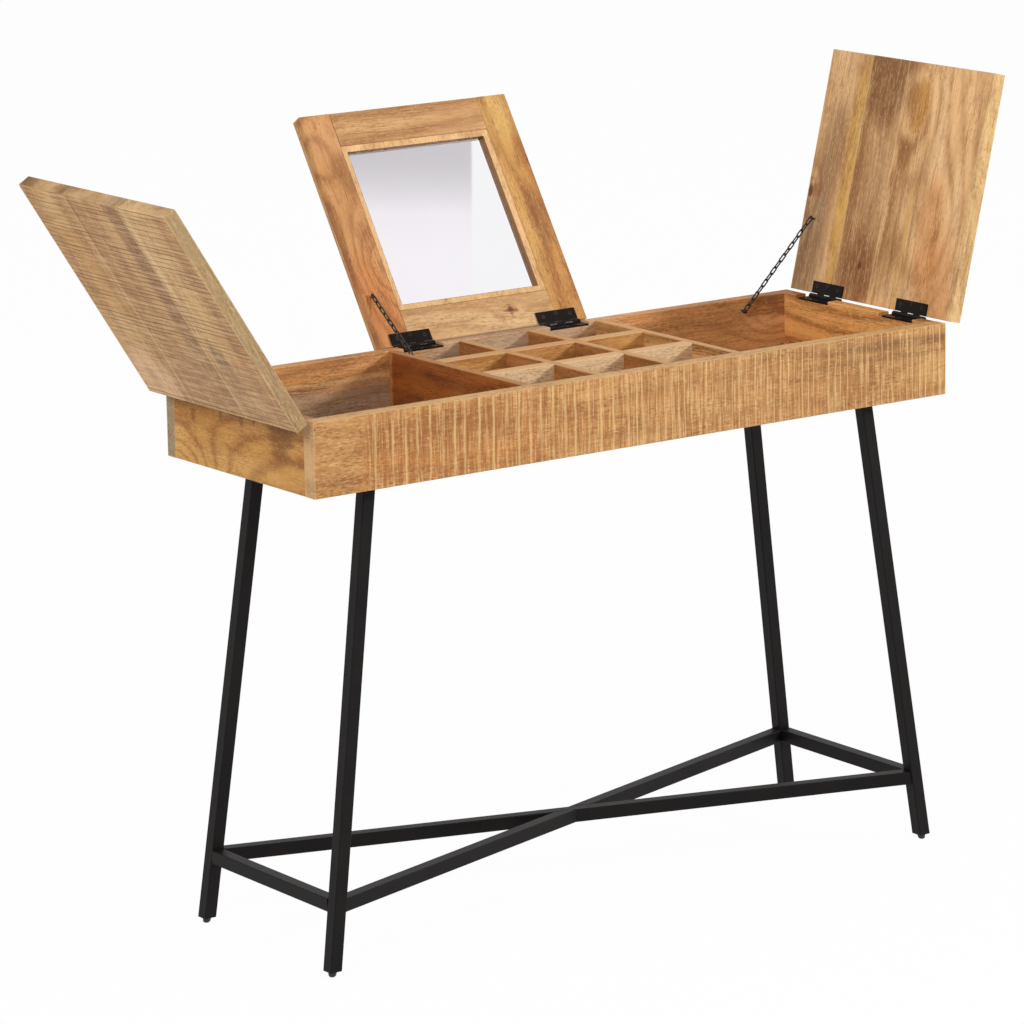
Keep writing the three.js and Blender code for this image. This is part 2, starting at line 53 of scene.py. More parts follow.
class Wire:
    """One output of a finish's nodes. Arithmetic on it adds Math nodes."""

    def __init__(self, tree, socket=None):
        self.tree = tree
        self.socket = socket

    def node(self, kind, settings, inputs, output=0):
        """Adds any node: its settings come first, then the values or links of its sockets."""
        made = self.tree.nodes.new("ShaderNode" + kind)
        for key, value in settings.items():
            if key == "stops":
                band = made.color_ramp
                while len(band.elements) < len(value):
                    band.elements.new(1.0)
                for element, (place, shade) in zip(band.elements, value):
                    element.position = place
                    element.color = shade
            elif key == "fade":
                made.color_ramp.interpolation = value
            else:
                setattr(made, key, value)
        for key, value in inputs.items():
            if isinstance(value, Wire):
                self.tree.links.new(value.socket, made.inputs[key])
            else:
                made.inputs[key].default_value = value
        return Wire(self.tree, made.outputs[output])

    def math(self, operation, first, second=0.0):
        return self.node("Math", {"operation": operation}, {0: first, 1: second})

    def __add__(self, other):
        return self.math("ADD", self, other)

    __radd__ = __add__

    def __mul__(self, other):
        return self.math("MULTIPLY", self, other)

    __rmul__ = __mul__

    def __sub__(self, other):
        return self.math("SUBTRACT", self, other)

    def __rsub__(self, other):
        return self.math("SUBTRACT", other, self)

    def __truediv__(self, other):
        return self.math("DIVIDE", self, other)

    def __rtruediv__(self, other):
        return self.math("DIVIDE", other, self)

    def __pow__(self, other):
        return self.math("POWER", self, other)

    def __abs__(self):
        return self.math("ABSOLUTE", self)

    def least(self, other):
        return self.math("MINIMUM", self, other)

    def most(self, other):
        return self.math("MAXIMUM", self, other)

    def rise(self, low, high):
        """0 below low, 1 above high, smooth between them."""
        ends = {0: self, 1: low, 2: high, 3: 0.0, 4: 1.0}
        return self.node("MapRange", {"interpolation_type": "SMOOTHSTEP"}, ends)

    def blend(self, share, under, over, kind="MIX"):
        """Lays a colour over another one."""
        settings = {"data_type": "RGBA", "blend_type": kind}
        return self.node("Mix", settings, {0: share, 6: under, 7: over}, 2)

    def ramp(self, stops, fade="LINEAR"):
        """Turns the wire into the colours of a ramp."""
        return self.node("ValToRGB", {"stops": stops, "fade": fade}, {0: self})

    def here(self):
        """Where a point of the surface is in the frame, in metres."""
        return self.node("TexCoord", {}, {}, 3)

    def measured(self, start, *ways):
        """How far a point of the surface lies from a start, along each of some ways."""
        offset = self.node("VectorMath", {"operation": "SUBTRACT"}, {0: self.here(), 1: tuple(start)})
        dot = {"operation": "DOT_PRODUCT"}
        return [self.node("VectorMath", dot, {0: offset, 1: tuple(way)}, 1) for way in ways]

    def noise(self, x, y, z, detail=2.0, roughness=0.5):
        """Noise that can be drawn out along one way."""
        point = self.node("CombineXYZ", {}, {0: x, 1: y, 2: z})
        sizes = {"Vector": point, "Scale": 1.0, "Detail": detail, "Roughness": roughness}
        return self.node("TexNoise", {}, sizes)

    def speckle(self, scale, detail=2.0, roughness=0.6):
        """Noise with grains of the same size every way."""
        sizes = {"Vector": self.here(), "Scale": scale, "Detail": detail, "Roughness": roughness}
        return self.node("TexNoise", {}, sizes)

    def close(self, shader, kind="Material"):
        """Ends the nodes of a finish or of the world."""
        self.tree.links.new(shader.socket, self.tree.nodes.new("ShaderNodeOutput" + kind).inputs["Surface"])


def colour(red, green, blue):
    """A colour given as it looks on a screen, 0 to 255."""
    parts = []
    for part in (red, green, blue):
        part /= 255
        parts.append(part / 12.92 if part <= 0.04045 else ((part + 0.055) / 1.055) ** 2.4)
    return (*parts, 1.0)


def new_finish(name):
    made = bpy.data.materials.new(name)
    made.use_nodes = True
    made.node_tree.nodes.clear()
    return made, Wire(made.node_tree)


def surface(wire, look, rough, relief, depth, shine=0.5, metal=0.0):
    """Closes a finish: its colour, its roughness, its relief, and how deep that goes in metres."""
    normal = wire.node("Bump", {}, {"Strength": 1.0, "Distance": depth, "Height": relief})
    sockets = {"Base Color": look, "Roughness": rough, "Normal": normal, "Specular IOR Level": shine,
               "Metallic": metal}
    wire.close(wire.node("BsdfPrincipled", {}, sockets))


def saw_marks(wire, saw, wood, relief, grain, cross, thick, bend, patch, beside, seed):
    """The marks of a band saw: a fine hatching, and broken scratches across the grain in unequal steps.

    Pitch is the step in metres, and the steps crowd past the first number of tight. Lean and waver tilt and
    bend the scratches, and broken cuts them up. They fade in between the two places of from. Hatch and
    strength say how strongly each kind shows, and height how proud a scratch stands."""
    step = grain / saw["pitch"] + cross * saw["lean"] + (bend - 0.5) * saw["waver"]
    if "tight" in saw:
        tight_from, crowding = saw["tight"]
        step = step + (grain - tight_from).most(0.0) * crowding
    gap = wire.node("TexVoronoi", {"voronoi_dimensions": "1D", "feature": "DISTANCE_TO_EDGE"},
                    {"W": step, "Scale": 1.0, "Randomness": 0.75})
    fade = wire.noise(grain * 70.0, cross * saw["broken"], seed, 2.0).rise(0.3, 0.58)
    sweep = wire.noise(grain * 7.0, seed, 3.0, 1.0).rise(0.28, 0.5)
    begin = grain.rise(*saw["from"]) * beside.rise(0.0004, 0.001)
    scratch = (1.0 - gap.rise(0.02, saw["width"])) * fade * sweep * begin
    hatch = wire.noise(grain * 430.0, cross * 22.0 + seed, thick * 22.0, 2.0, 0.6)
    band = wire.noise(grain * 130.0, cross * 10.0 + seed, thick * 10.0, 2.0, 0.6)
    hatched = saw["hatch"] * begin
    wood = wire.blend(band.rise(0.48, 0.66) * (patch * 0.6 + 0.4) * hatched, wood, saw["shadow"])
    wood = wire.blend(hatch.rise(0.5, 0.64) * hatched, wood, saw["shadow"])
    wood = wire.blend((1.0 - hatch).rise(0.52, 0.66) * (0.7 * hatched), wood, saw["colour"])
    wood = wire.blend(scratch * saw["strength"], wood, saw["colour"])
    return wood, relief + hatch * 0.35 * begin + scratch * saw["height"]


# in metres: the relief of the grain, how far rings sway, and the widths of faces, edges and seams
grain_depth = 0.0007
ring_sway = 0.016
side_face = (0.0003, 0.0009)
edge_highlight_band = (0.0003, 0.0015)
edge_waver = 0.0012
seam_half = (0.0004, 0.0022)
seam_waver = 0.0006
most_planks = 8
plank_slip = 90.0
knot_brown = colour(92, 50, 30)


def timber(name, corner, along, across, size, tones, dark, pale, *, seed=0.0, rings=24.0, wave=2.2,
           ringing=0.35, lines=0.5, specks=0.5, mottle=0.3, planks=(), saw=None, stains=(), knots=(),
           edge_highlight_share=0.2, flank=None, end=None, ridge=0.15, gloss=0.56, paint=None):
    """Oiled mango wood. The board starts at corner, its grain runs along and its width across.

    Tones colour the broad figure, dark and pale the fine grain. Rings are counted to the metre, and wave
    bends them. Ringing, lines, specks and mottle say how strongly rings, strands, pores and mottling show.
    A plank is (start as a share of the width, tint). A stain is (along, across, half length, half width,
    colour, strength), and a knot (along, across, radius, rings thrown round it, darkness). Flank and end
    colour the side and end faces, the edge share paints a highlight along eased edges, ridge lightens
    seams, and paint is a last coat."""
    made, wire = new_finish(name)
    grain, cross, thick = wire.measured(corner, along, across, along.cross(across))

    # each plank of a glued-up board has its own figure and tint
    slip = seed
    if planks:
        shares = [k / most_planks for k in range(len(planks))]
        marks = [(start, (share, share, share, 1.0)) for share, (start, tint) in zip(shares, planks)]
        slip = (cross / size[1]).ramp(marks, "CONSTANT") * plank_slip + seed

    # growth rings, bent by slow waves and thrown round the knots
    bend = wire.noise(grain * 6.0 + slip, cross * 14.0, thick * 14.0, 3.0)
    turned = cross + (bend - 0.5) * ring_sway
    swirl = wire.noise(grain * 1.5 + slip, cross * 3.5 + seed, thick * 3.5, 1.0) * wave
    cores = []
    for knot_along, knot_across, radius, thrown, darkness in knots:
        reach = ((grain - knot_along) / (1.7 * radius)) ** 2.0 + ((cross - knot_across) / radius) ** 2.0
        swirl = swirl + thrown / (reach * 0.12 + 1.0)
        if darkness:
            cores.append((1.0 - (reach + (bend - 0.5) * 1.6).rise(0.25, 1.5)) * darkness)
    ring = wire.math("SINE", (turned * rings + swirl) * (2 * math.pi)) * 0.5 + 0.5
    broad = wire.noise(grain * 1.6 + slip, turned * 15.0, thick * 15.0, 4.0, 0.6)
    tone = broad + (ring - 0.5) * (0.4 * ringing)
    wood = tone.rise(0.3, 0.7).ramp(tones)
    if planks:
        wood = wire.blend(1.0, wood, (cross / size[1]).ramp(planks, "CONSTANT"), "MULTIPLY")

    # strands, fine grain and pores are all drawn out along the grain
    strand = wire.noise(grain * 5.0 + slip, turned * 105.0, thick * 105.0, 3.0, 0.6)
    fine = wire.noise(grain * 22.0 + slip, turned * 400.0, thick * 400.0, 3.0, 0.65)
    fleck = wire.noise(grain * 130.0 + slip, cross * 430.0, thick * 430.0, 2.0, 0.65)
    patch = wire.noise(grain * 9.0 + slip, turned * 40.0, thick * 40.0, 2.0).rise(0.35, 0.65)
    mottling = wire.noise(grain * 17.0 + slip, turned * 50.0, thick * 50.0, 4.0, 0.68)
    for stain_along, stain_across, half_length, half_width, shade, strength in stains:
        reach = ((grain - stain_along) / half_length) ** 2.0 + ((turned - stain_across) / half_width) ** 2.0
        blot = 1.0 - (reach + (bend - 0.5) * 1.4 + (strand - 0.5) * 1.4).rise(0.1, 1.2)
        wood = wire.blend(blot * strength, wood, shade)
    ways = zip((grain, cross, thick), size)
    from_end, from_side, from_face = (way.least(length - way) for way, length in ways)
    for inward, shade in ((from_side, flank), (from_end, end)):
        if shade:
            wood = wire.blend((1.0 - inward.rise(*side_face)) * 0.85, wood, shade)
    wood = wire.blend(mottling.rise(0.5, 0.68) * mottle, wood, dark)
    wood = wire.blend((1.0 - mottling).rise(0.52, 0.7) * (mottle * 0.7), wood, pale)
    wood = wire.blend(ring ** 4.0 * ringing, wood, dark)
    wood = wire.blend(strand.rise(0.48, 0.7) * (patch * 0.5 + 0.35) * lines, wood, dark)
    drawn = (patch * 0.9 + 0.5) * lines
    wood = wire.blend(fine.rise(0.5, 0.64) * drawn * 0.8, wood, dark)
    wood = wire.blend((1.0 - fine).rise(0.52, 0.66) * drawn * 0.7, wood, pale)
    for start, tint in planks[1:]:
        seam = 1.0 - abs(cross - start * size[1] + (bend - 0.5) * seam_waver).rise(*seam_half)
        wood = wire.blend(seam * ridge, wood, pale)
    pore = fleck.rise(0.53, 0.65) * (patch * 0.7 + 0.3)
    wood = wire.blend(pore * specks, wood, dark)
    wood = wire.blend((1.0 - fleck).rise(0.55, 0.67) * (0.6 * specks), wood, pale)
    relief = (1.0 - fine) * 0.25 - pore * 0.35

    if saw:
        wood, relief = saw_marks(wire, saw, wood, relief, grain, cross, thick, bend, patch, from_side, seed)
    for core in cores:
        wood = wire.blend(core, wood, knot_brown)

    # a painted highlight along the eased edges, where they catch the light: an edge is near to two faces at
    # once
    near, far = from_end.least(from_side), from_end.most(from_side)
    edge = near.most(far.least(from_face))
    painted_edge_highlight = 1.0 - (edge + (fleck - 0.5) * edge_waver).rise(*edge_highlight_band)
    wood = wire.blend(painted_edge_highlight * edge_highlight_share, wood, pale)
    if paint:
        wood = paint(wire, wood, grain, cross)
    rough = gloss + (fine - 0.5) * 0.16 + pore * 0.12
    surface(wire, wood, rough, relief, depth=grain_depth, shine=0.22)
    return made


def laid(node, along, across):
    """Where a board of the box starts, its two ways, and its size along them and through it."""
    low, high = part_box(node)
    through = along.cross(across)
    corner = [high[i] if through[i] < 0 else low[i] for i in range(3)]
    size = [abs((high - low).dot(way)) for way in (along, across, through)]
    return corner, along, across, size


wood_bevel = 0.0006
bevel_steps = 2
sharp_corner = math.radians(40)


def dress(finish, *names, bevel=wood_bevel):
    """Gives CAD nodes a finish and eases their sharp corners."""
    for name in names:
        node = frame["nodes"][name]
        for held in node.material_slots:
            held.material = finish
        if bevel:
            soft = node.modifiers.new("eased", "BEVEL")
            soft.width = bevel
            soft.segments = bevel_steps
            soft.limit_method = "ANGLE"
            soft.angle_limit = sharp_corner


X, Y, Z = Vector((1, 0, 0)), Vector((0, 1, 0)), Vector((0, 0, 1))
front_tones = [
    (0.0, colour(203, 153, 95)),
    (0.4, colour(194, 140, 83)),
    (0.72, colour(180, 123, 69)),
    (1.0, colour(156, 100, 52)),
]
front_saw = {
    "pitch": 0.0205, "lean": 0.22, "waver": 0.5, "from": (0.066, 0.1), "width": 0.15, "strength": 0.55,
    "tight": (0.52, 34.0), "broken": 14.0, "hatch": 0.52, "height": 0.8,
    "colour": colour(226, 190, 132), "shadow": colour(140, 88, 44),
}
front_stains = [
    (0.20, 0.035, 0.16, 0.06, colour(194, 125, 64), 0.45),
    (0.23, 0.06, 0.12, 0.035, colour(149, 94, 49), 0.5),
    (0.04, 0.05, 0.05, 0.07, colour(192, 147, 91), 0.6),
    (0.86, 0.05, 0.4, 0.12, colour(170, 120, 72), 0.45),
    (0.94, 0.06, 0.11, 0.05, colour(150, 102, 58), 0.5),
    (1.0, 0.086, 0.17, 0.009, colour(118, 81, 46), 0.75),
    (0.97, 0.066, 0.15, 0.005, colour(132, 90, 51), 0.6),
    (1.03, 0.03, 0.07, 0.02, colour(201, 157, 95), 0.5),
]
front_wood = timber(
    "front_board_wood", *laid("front_board", X, Z), front_tones, colour(122, 75, 36), colour(220, 181, 124),
    seed=3.0, rings=16.0, wave=2.0, ringing=0.2, lines=0.22, specks=0.6, saw=front_saw, stains=front_stains,
    flank=colour(209, 167, 112), end=colour(198, 160, 114))
dress(front_wood, "front_board")


# Back board
# The back board is planed. Inside the trays its upper half is orange and its lower half greyer, and its
# figure runs in waves behind the right tray. The case hinges of the mirror lid are let into its top.

back_tones = [
    (0.0, colour(222, 167, 108)),
    (0.45, colour(213, 152, 94)),
    (0.75, colour(187, 126, 74)),
    (1.0, colour(159, 105, 62)),
]
back_stains = [
    (0.16, 0.02, 0.34, 0.062, colour(188, 162, 134), 0.92),
    (0.18, 0.088, 0.28, 0.024, colour(230, 164, 96), 0.7),
    (0.2, 0.073, 0.26, 0.005, colour(240, 196, 136), 0.7),
    (0.56, 0.06, 0.2, 0.1, colour(188, 169, 146), 0.8),
    (0.93, 0.06, 0.2, 0.09, colour(236, 168, 104), 0.6),
    (1.02, 0.066, 0.06, 0.014, colour(244, 184, 128), 0.75),
    (1.04, 0.094, 0.035, 0.01, colour(140, 92, 54), 0.7),
    (0.80, 0.03, 0.06, 0.02, colour(150, 98, 56), 0.4),
]
back_knots = [(1.045, 0.07, 0.012, 4.0, 0.0)]
back_wood = timber(
    "back_board_wood", *laid("back_board", X, Z), back_tones, colour(131, 83, 48), colour(241, 195, 134),
    seed=11.0, rings=30.0, wave=4.0, ringing=0.26, lines=0.35, stains=back_stains, knots=back_knots,
    end=colour(132, 122, 98))
dress(back_wood, "back_board")


# End boards
# Two short boards between the front and the back, their grain along the depth of the box. Wide
# cathedral figure, golden, with a brown patch near the front. The side lids' hinges are let into them.

left_end_tones = [
    (0.0, colour(188, 138, 72)),
    (0.5, colour(180, 126, 62)),
    (0.8, colour(167, 111, 53)),
    (1.0, colour(148, 93, 43)),
]
# the first patch darkens a band along the top of the board towards the back, just under the open lid
left_end_patches = [
    (0.24, 0.085, 0.12, 0.03, colour(160, 104, 43), 0.65),
    (0.33, 0.02, 0.07, 0.04, colour(216, 166, 94), 0.75),
    (0.19, 0.012, 0.14, 0.018, colour(206, 156, 92), 0.65),
    (0.054, 0.092, 0.037, 0.06, colour(124, 78, 32), 0.85),
    (0.054, 0.092, 0.036, 0.055, colour(118, 74, 31), 0.6),
    (0.27, 0.068, 0.007, 0.012, colour(112, 70, 29), 0.6),
    (0.2, 0.08, 0.006, 0.014, colour(112, 70, 29), 0.65),
    (0.15, 0.08, 0.006, 0.016, colour(112, 70, 29), 0.6),
    (0.12, 0.086, 0.005, 0.014, colour(112, 70, 29), 0.6),
]
left_end_knots = [(0.32, -0.02, 0.02, 9.0, 0.0)]
left_end_wood = timber(
    "left_end_wood", *laid("left_end_board", Y, Z), left_end_tones, colour(118, 70, 29),
    colour(214, 168, 99), seed=21.0, rings=40.0, wave=7.0, ringing=0.42, lines=0.2, specks=0.45,
    mottle=0.45, stains=left_end_patches, knots=left_end_knots)
dress(left_end_wood, "left_end_board")

right_end_tones = [
    (0.0, colour(238, 171, 98)),
    (0.5, colour(223, 151, 82)),
    (0.8, colour(192, 122, 65)),
    (1.0, colour(158, 98, 50)),
]
right_end_stains = [(0.2, 0.05, 0.06, 0.05, colour(247, 168, 89), 0.6)]
right_end_wood = timber(
    "right_end_wood", *laid("right_end_board", Y, Z), right_end_tones, colour(125, 76, 41),
    colour(250, 205, 130), seed=27.0, rings=32.0, wave=6.0, ringing=0.5, lines=0.4, stains=right_end_stains)
dress(right_end_wood, "right_end_board")


# Bottom panel
# A thin glued-up panel that floats under the trays and the cells. It is seldom seen and is darker,
# with a knot near the right end.

panel_tones = [
    (0.0, colour(158, 116, 76)),
    (0.5, colour(142, 98, 60)),
    (1.0, colour(112, 72, 42)),
]
panel_planks = [(0.0, (1, 0.97, 0.92, 1)), (0.3, (0.86, 0.82, 0.78, 1)), (0.66, (1, 0.94, 0.88, 1))]
panel_knots = [(0.93, 0.1, 0.012, 1.6, 0.85)]
panel_wood = timber(
    "panel_wood", *laid("bottom_panel", X, Y), panel_tones, colour(88, 54, 32), colour(176, 134, 90),
    seed=35.0, rings=26.0, wave=5.0, ringing=0.4, planks=panel_planks, knots=panel_knots)
dress(panel_wood, "bottom_panel", bevel=0)


# Partitions and dividers
# Thin boards stand on the panel and make nine cells between the two trays. Those from front to back
# are brown, but for the right partition, painted golden as warm bounced light on its shaded face, and the
# others are paler. All have light top edges.

top_face = (0.0011, 0.0004)


def divider(name, node, along, tones, dark, pale, top, **more):
    """The wood of a thin board whose top face is given a paler colour."""
    corner, along, across, size = laid(node, along, Z)

    def paler_top_face(wire, wood, grain, cross):
        top_share = cross.rise(*(size[1] - below for below in top_face))
        return wire.blend(top_share * 0.8, wood, top)

    return timber(name, corner, along, across, size, tones, dark, pale, edge_highlight_share=0.4, paint=paler_top_face, **more)


pale_top = colour(206, 158, 106)
sandy_top = colour(210, 164, 112)
left_partition_tones = [
    (0.0, colour(172, 100, 43)),
    (0.5, colour(151, 83, 34)),
    (1.0, colour(118, 61, 26)),
]
left_partition_stains = [(0.318, 0.05, 0.008, 0.2, colour(202, 140, 88), 0.9)]
left_partition_wood = divider(
    "left_partition_wood", "left_partition", Y, left_partition_tones, colour(84, 44, 24),
    colour(170, 112, 64), colour(178, 128, 80), seed=41.0, ringing=0.15, lines=0.25, mottle=0.6,
    stains=left_partition_stains)
dress(left_partition_wood, "left_partition")

# golden tones: painted bounce light, standing in for warm light thrown onto the partition's shaded left
# face
right_partition_bounce_lit_tones = [
    (0.0, colour(234, 182, 120)),
    (0.5, colour(216, 160, 98)),
    (1.0, colour(180, 126, 72)),
]
right_partition_bounce_lit_wood = divider(
    "right_partition_bounce_lit_wood", "right_partition", Y, right_partition_bounce_lit_tones, colour(112, 70, 36),
    colour(222, 174, 116), pale_top, seed=44.0)
dress(right_partition_bounce_lit_wood, "right_partition")

crosswise_tones = [
    (0.0, colour(196, 130, 72)),
    (0.5, colour(176, 112, 58)),
    (1.0, colour(144, 88, 45)),
]
crosswise_wood = divider(
    "crosswise_wood", "crosswise_divider_1", Y, crosswise_tones, colour(100, 62, 34), colour(186, 138, 88),
    pale_top, seed=47.0)
dress(crosswise_wood, "crosswise_divider_1", "crosswise_divider_2")

front_row_tones = [
    (0.0, colour(230, 196, 152)),
    (0.6, colour(222, 184, 138)),
    (1.0, colour(200, 160, 114)),
]
front_row_wood = divider(
    "front_row_wood", "lengthwise_divider_1", X, front_row_tones, colour(176, 132, 88),
    colour(248, 222, 184), sandy_top, seed=51.0, specks=0.8, lines=0.3)
dress(front_row_wood, "lengthwise_divider_1")

middle_row_tones = [
    (0.0, colour(216, 162, 96)),
    (0.6, colour(204, 146, 80)),
    (1.0, colour(178, 120, 62)),
]
middle_row_wood = divider(
    "middle_row_wood", "lengthwise_divider_2", X, middle_row_tones, colour(138, 86, 42),
    colour(226, 176, 112), sandy_top, seed=55.0, specks=0.55)
dress(middle_row_wood, "lengthwise_divider_2")


# Side lids
# Two plain lids of three planks glued edge to edge. The left one shows its outer face, still rough
# from the saw; the right one shows its planed inner face, with a dark plank and a strip of sapwood.

shut_way = {"left": X, "centre": -Y, "right": -X}


def hang(side):
    """How an open lid hangs: a point on its axis, its way out from there, and the way its top faces."""
    joint = next(j for j in frame["joints"] if j["name"] == f"{side}_lid_fold")
    turn = Matrix.Rotation(-math.radians(joint["range_deg"][1]), 3, Vector(joint["axis"]))
    return Vector(joint["pos_m"]), turn @ shut_way[side], turn @ Z


lid_from_axis = 0.0044
lid_over_axis = 0.003
lid_thickness = 0.019
lid_gap = 0.002
back_low, back_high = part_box("back_board")
front_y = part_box("front_board")[0].y
lid_width = back_high.y - front_y
lid_reach = (back_high.x - back_low.x - 2 * lid_gap) / 3
side_lid_size = (lid_reach, lid_width, lid_thickness)

axis, out, top = hang("left")
corner = axis + out * lid_from_axis + top * lid_over_axis
corner.y = front_y
left_lid_tones = [
    (0.0, colour(206, 168, 120)),
    (0.4, colour(192, 152, 104)),
    (0.75, colour(176, 132, 88)),
    (1.0, colour(150, 108, 70)),
]
left_lid_saw = {
    "pitch": 0.0078, "lean": -0.4, "waver": 0.7, "from": (-0.02, -0.01), "width": 0.15, "strength": 0.85,
    "broken": 9.0, "hatch": 0.36, "height": -0.8,
    "colour": colour(112, 78, 46), "shadow": colour(220, 186, 138),
}
left_lid_planks = [
    (0.0, (1.1, 1.08, 1.02, 1)),
    (0.33, (0.88, 0.775, 0.69, 1)),
    (0.69, (0.95, 0.88, 0.73, 1)),
]
left_lid_stains = [
    (0.09, 0.09, 0.05, 0.018, colour(104, 80, 58), 0.75),
    (0.25, 0.139, 0.2, 0.022, colour(126, 86, 58), 0.75),
    (0.24, 0.3, 0.09, 0.04, colour(190, 138, 78), 0.65),
    (0.26, 0.109, 0.15, 0.009, colour(224, 192, 146), 0.75),
    (0.03, 0.15, 0.09, 0.2, colour(154, 114, 78), 0.7),
    (0.03, 0.31, 0.06, 0.06, colour(226, 182, 142), 0.8),
]
left_lid_wood = timber(
    "left_lid_wood", corner, out, Y, side_lid_size, left_lid_tones, colour(136, 94, 58),
    colour(222, 188, 138), seed=61.0, rings=12.0, ringing=0.15, lines=0.35, specks=0.4, saw=left_lid_saw,
    edge_highlight_share=0.3, flank=colour(154, 131, 94), ridge=0.6, planks=left_lid_planks, stains=left_lid_stains)
dress(left_lid_wood, "left_lid")

axis, out, top = hang("right")
corner = axis + out * lid_from_axis + top * (lid_over_axis + lid_thickness)
corner.y = front_y
right_lid_tones = [
    (0.0, colour(240, 197, 146)),
    (0.45, colour(226, 179, 125)),
    (0.75, colour(207, 158, 106)),
    (1.0, colour(178, 128, 82)),
]
right_lid_planks = [
    (0.0, (1.0, 1.0, 1.0, 1)),
    (0.515, (0.71, 0.65, 0.58, 1)),
    (0.742, (0.9, 0.87, 0.83, 1)),
]
right_lid_stains = [
    (0.34, 0.065, 0.1, 0.09, colour(246, 196, 139), 0.7),
    (0.05, 0.05, 0.1, 0.045, colour(208, 139, 79), 0.7),
    (0.12, 0.08, 0.09, 0.026, colour(216, 141, 79), 0.55),
    (0.35, 0.228, 0.11, 0.06, colour(118, 72, 34), 0.85),
    (0.17, 0.22, 0.09, 0.028, colour(184, 143, 100), 0.65),
    (0.045, 0.226, 0.07, 0.045, colour(134, 83, 41), 0.85),
    (0.1, 0.165, 0.1, 0.02, colour(178, 133, 79), 0.6),
    (0.2, 0.279, 0.28, 0.0145, colour(216, 166, 84), 0.9),
    (0.21, 0.325, 0.1, 0.03, colour(148, 108, 74), 0.75),
    (0.07, 0.34, 0.1, 0.04, colour(150, 116, 84), 0.85),
    (0.11, 0.175, 0.13, 0.006, colour(152, 104, 58), 0.7),
    (0.12, 0.152, 0.13, 0.005, colour(158, 112, 66), 0.6),
    (0.09, 0.13, 0.12, 0.007, colour(214, 170, 98), 0.8),
    (0.13, 0.118, 0.12, 0.0035, colour(164, 118, 70), 0.6),
    (0.295, 0.145, 0.045, 0.02, colour(188, 131, 56), 0.85),
    (0.22, 0.162, 0.032, 0.017, colour(146, 93, 41), 0.85),
    (0.15, 0.345, 0.012, 0.018, colour(146, 87, 55), 0.7),
    (0.18, 0.002, 0.3, 0.006, colour(236, 200, 139), 0.9),
]
right_lid_knots = [
    (0.053, 0.217, 0.0035, 3.0, 0.85),
    (0.147, 0.356, 0.005, 3.0, 0.85),
    (0.3, 0.15, 0.02, 4.0, 0.0),
    (0.13, 0.07, 0.022, 3.0, 0.0),
]
right_lid_wood = timber(
    "right_lid_wood", corner, out, Y, side_lid_size, right_lid_tones, colour(136, 90, 50),
    colour(242, 203, 150), seed=71.0, rings=13.0, wave=3.2, ringing=0.24, lines=0.34, specks=0.4,
    mottle=0.4, flank=colour(206, 168, 113), ridge=0.3, planks=right_lid_planks, stains=right_lid_stains,
    knots=right_lid_knots)
dress(right_lid_wood, "right_lid")


# Mirror lid
# A frame of two stiles and two rails with a mitred bead round the glass and a thin panel behind. The
# left stile is orange brown, the right one golden with flecks, the lower rail pale with one red knot.

axis, out, top = hang("centre")
hinge_middle = axis + out * lid_from_axis + top * lid_over_axis
left_edge = hinge_middle - X * (lid_reach / 2)
frame_width = 0.0515
frame_depth = 0.0127
stile_size = (lid_width, frame_width, frame_depth)
left_stile_tones = [
    (0.0, colour(200, 147, 95)),
    (0.5, colour(190, 134, 80)),
    (0.8, colour(175, 115, 63)),
    (1.0, colour(148, 94, 50)),
]
left_stile_knots = [(0.12, 0.046, 0.013, 4.0, 0.0), (0.3, -0.004, 0.014, 3.5, 0.0)]
left_stile_stains = [
    (0.07, 0.02, 0.1, 0.03, colour(200, 118, 56), 0.65),
    (0.33, 0.03, 0.05, 0.03, colour(214, 160, 110), 0.6),
    (0.27, 0.04, 0.04, 0.015, colour(150, 101, 58), 0.7),
    (0.17, 0.035, 0.03, 0.014, colour(160, 99, 54), 0.6),
]
left_stile_wood = timber(
    "left_stile_wood", left_edge, out, X, stile_size, left_stile_tones, colour(133, 82, 45),
    colour(211, 164, 108), seed=81.0, rings=30.0, wave=4.5, ringing=0.4, lines=0.3, mottle=0.4,
    knots=left_stile_knots, stains=left_stile_stains)
dress(left_stile_wood, "mirror_left_stile")

right_stile_corner = left_edge + X * (lid_reach - frame_width)
right_stile_tones = [
    (0.0, colour(212, 166, 97)),
    (0.5, colour(199, 147, 80)),
    (0.8, colour(180, 123, 64)),
    (1.0, colour(154, 99, 52)),
]
right_stile_stains = [
    (0.33, 0.03, 0.05, 0.04, colour(218, 175, 103), 0.7),
    (0.17, 0.035, 0.06, 0.02, colour(137, 85, 47), 0.7),
    (0.05, 0.03, 0.07, 0.035, colour(184, 121, 66), 0.6),
]
right_stile_wood = timber(
    "right_stile_wood", right_stile_corner, out, X, stile_size, right_stile_tones, colour(126, 75, 40),
    colour(218, 175, 113), seed=86.0, rings=22.0, wave=4.0, ringing=0.25, lines=0.3, specks=0.6, mottle=0.5,
    stains=right_stile_stains)
dress(right_stile_wood, "mirror_right_stile")

